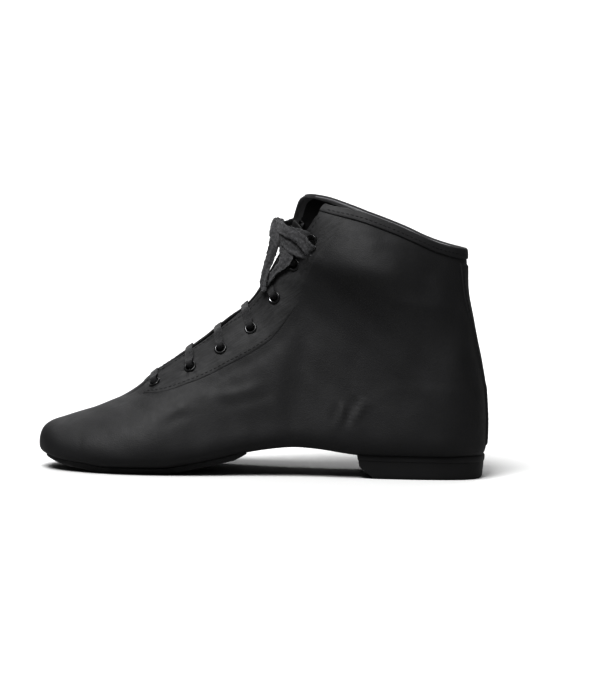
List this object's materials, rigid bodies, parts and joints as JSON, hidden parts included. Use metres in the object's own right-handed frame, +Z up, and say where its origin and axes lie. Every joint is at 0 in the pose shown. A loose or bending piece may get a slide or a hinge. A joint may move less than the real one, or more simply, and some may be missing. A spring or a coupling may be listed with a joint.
{
  "type": "jazz boot",
  "caption": "Low lace-up dance boot for the right foot: soft leather upper, split sole with forefoot patch and low heel block, straight lacing and a bow.",
  "frame": {"origin": "on the floor plane under the middle of the boot's bounding box", "axes": "+X from toe to heel, +Y from the inner side of the foot to the outer side, +Z up"},
  "size_m": [0.2508, 0.0837, 0.156],
  "materials": {
    "black_leather": "soft black leather, low sheen",
    "eyestay_leather": "soft black leather, doubled",
    "tongue_leather": "soft black leather, matt",
    "lining": "dark woven lining",
    "sole_suede": "black suede, rough",
    "heel_rubber": "black rubber, matt",
    "black_eyelet": "black lacquered metal",
    "lace_cotton": "black woven cotton"
  },
  "bodies": {
    "root": {"upper": "black_leather", "collar_band": "black_leather", "eyestay_inner": "eyestay_leather", "eyestay_outer": "eyestay_leather", "back_strip": "black_leather", "tongue": "tongue_leather", "insole": "lining", "forefoot_sole": "sole_suede", "heel": "heel_rubber", "eyelet_inner_1": "black_eyelet", "eyelet_inner_2": "black_eyelet", "eyelet_inner_3": "black_eyelet", "eyelet_inner_4": "black_eyelet", "eyelet_inner_5": "black_eyelet", "eyelet_inner_6": "black_eyelet", "eyelet_inner_7": "black_eyelet", "eyelet_outer_1": "black_eyelet", "eyelet_outer_2": "black_eyelet", "eyelet_outer_3": "black_eyelet", "eyelet_outer_4": "black_eyelet", "eyelet_outer_5": "black_eyelet", "eyelet_outer_6": "black_eyelet", "eyelet_outer_7": "black_eyelet", "lace_bar_1": "lace_cotton", "lace_bar_2": "lace_cotton", "lace_bar_3": "lace_cotton", "lace_bar_4": "lace_cotton", "lace_bar_5": "lace_cotton", "lace_bar_6": "lace_cotton", "lace_knot": "lace_cotton", "lace_tie_inner": "lace_cotton", "lace_tie_outer": "lace_cotton", "lace_loop_inner": "lace_cotton", "lace_loop_outer": "lace_cotton", "lace_end_inner": "lace_cotton", "lace_end_outer": "lace_cotton"}
  },
  "joints": []
}
